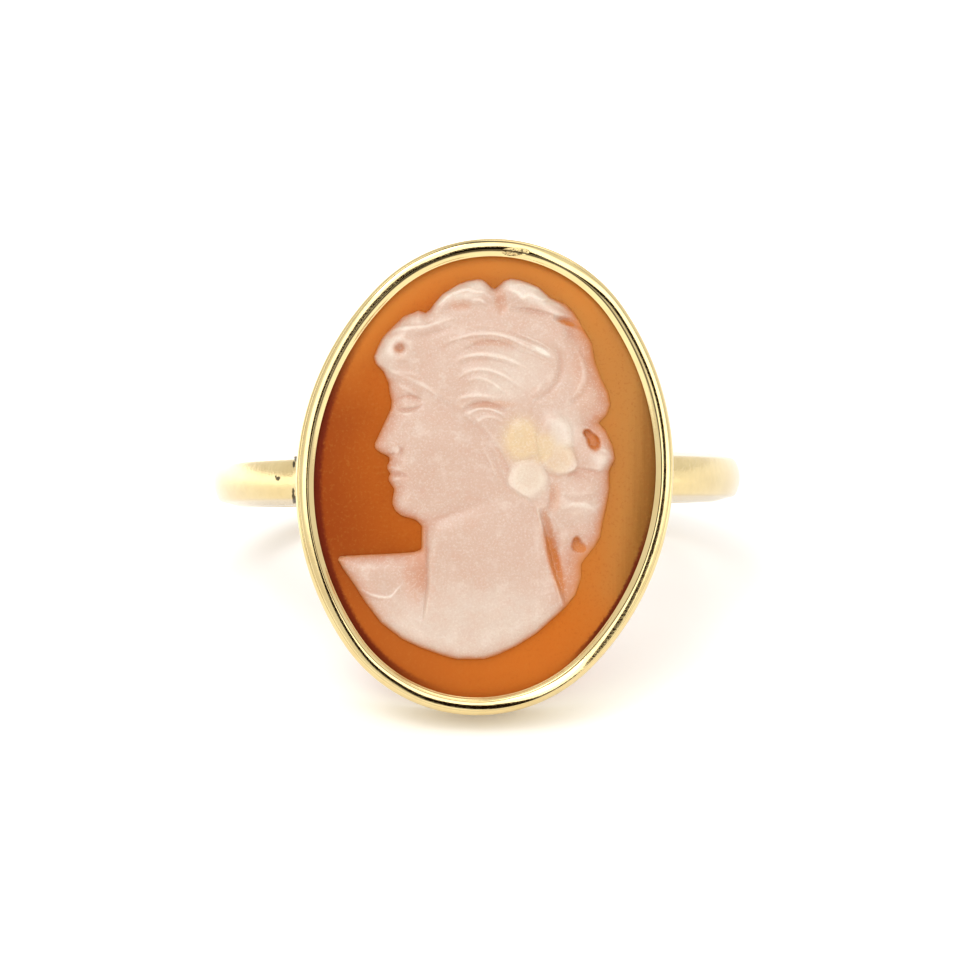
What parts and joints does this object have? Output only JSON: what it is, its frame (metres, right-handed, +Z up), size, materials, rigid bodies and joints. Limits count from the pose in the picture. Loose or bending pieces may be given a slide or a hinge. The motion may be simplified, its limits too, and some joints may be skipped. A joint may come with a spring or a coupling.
{
  "type": "cameo ring",
  "caption": "Finger ring with an oval shell cameo of a woman's bust, held by a plain bezel on a slim half-round shank.",
  "frame": {"origin": "on the surface that the ring lies on, under the middle of its box", "axes": "+X across the ring to the figure's right, +Y from the cameo to the back of the shank, +Z up; the finger's axis leans back by 22.6 degrees from +Z"},
  "size_m": [0.0198, 0.0228, 0.0164],
  "materials": {
    "yellow_gold": "polished",
    "shell_orange": "satin",
    "shell_white": "satin"
  },
  "bodies": {
    "root": {"ring_mount": "yellow_gold", "cameo_ground": "shell_orange", "cameo_figure": "shell_white"}
  },
  "joints": []
}
